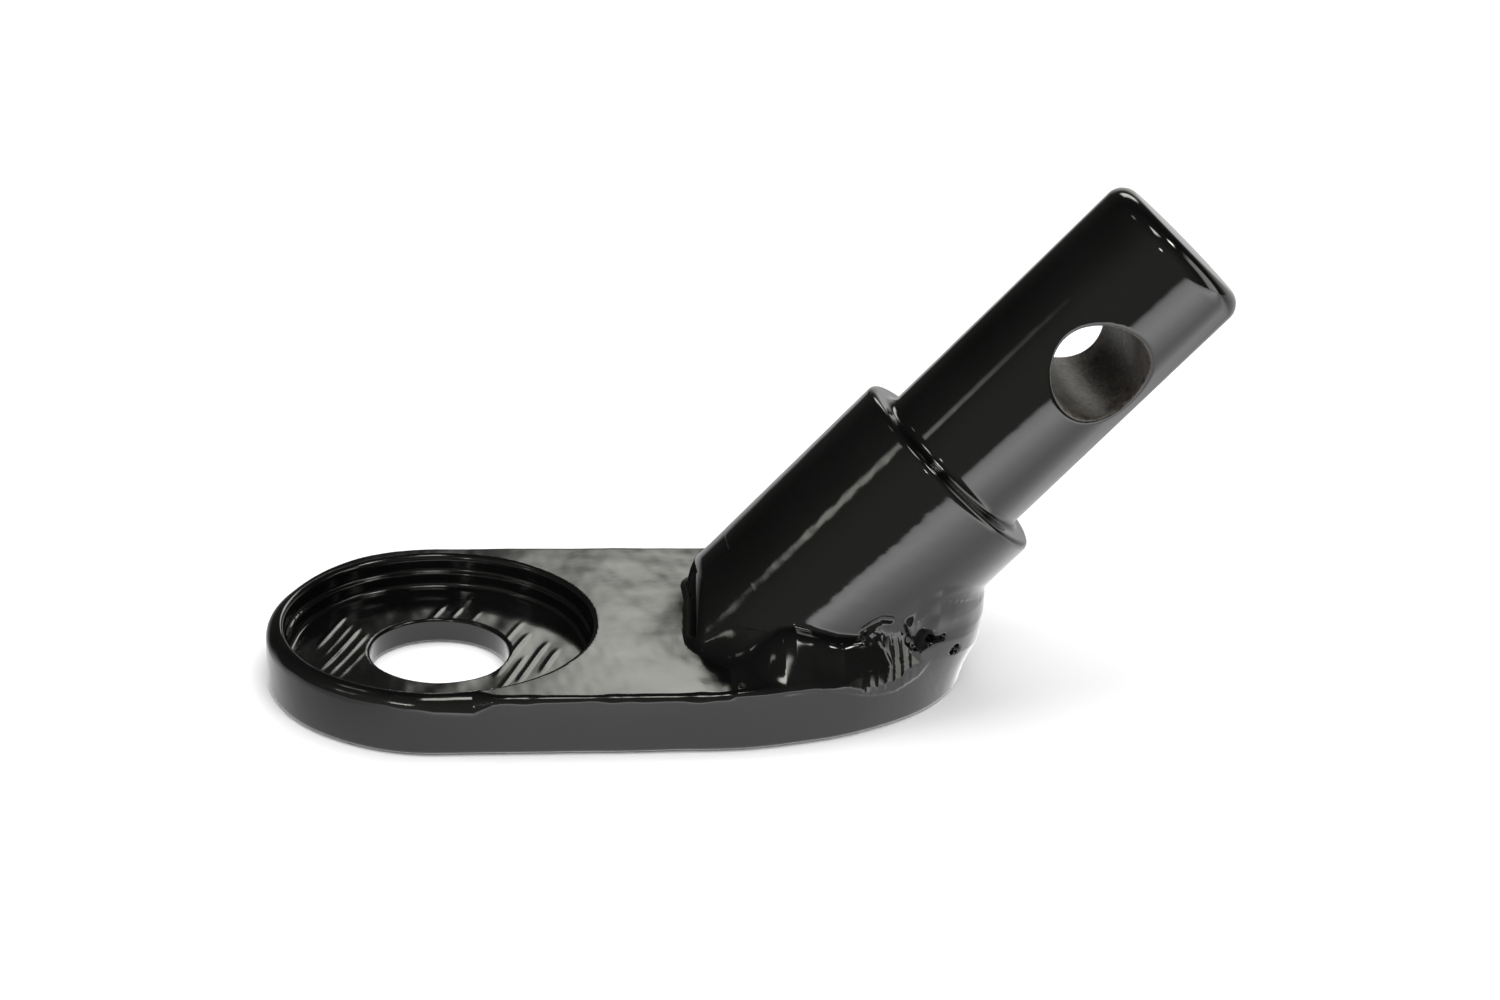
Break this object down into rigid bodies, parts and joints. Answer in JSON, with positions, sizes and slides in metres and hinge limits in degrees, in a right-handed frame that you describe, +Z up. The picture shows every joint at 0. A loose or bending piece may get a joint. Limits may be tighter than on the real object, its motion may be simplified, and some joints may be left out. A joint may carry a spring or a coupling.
{
  "type": "bicycle trailer hitch coupler",
  "caption": "Flat steel bar with a recessed axle hole, carrying a welded sleeve and a slanting cross-drilled round stud that a trailer's tow arm is pinned onto.",
  "frame": {"origin": "on the bar's underside, below the middle of the part's length and width", "axes": "+X from the axle hole towards the stud, which leans towards +X; +Y across the bar; +Z up from the bar's underside"},
  "size_m": [0.0884, 0.032, 0.0479],
  "materials": {
    "bar_coat": "thick gloss black coat over forged steel, slightly wavy, with rough forging marks showing through in the round seat",
    "tube_coat": "smooth gloss black coat with a faint orange peel",
    "stud_coat": "smooth gloss black coat with a faint orange peel, thin and gritty inside the pin hole",
    "weld_coat": "gloss black coat flowed over rippled weld metal"
  },
  "bodies": {
    "root": {"base_bar": "bar_coat", "sleeve": "tube_coat", "stud": "stud_coat", "seam_bead": "weld_coat", "weld_front": "weld_coat", "weld_back": "weld_coat", "weld_heel": "weld_coat", "weld_toe": "weld_coat"}
  },
  "joints": []
}
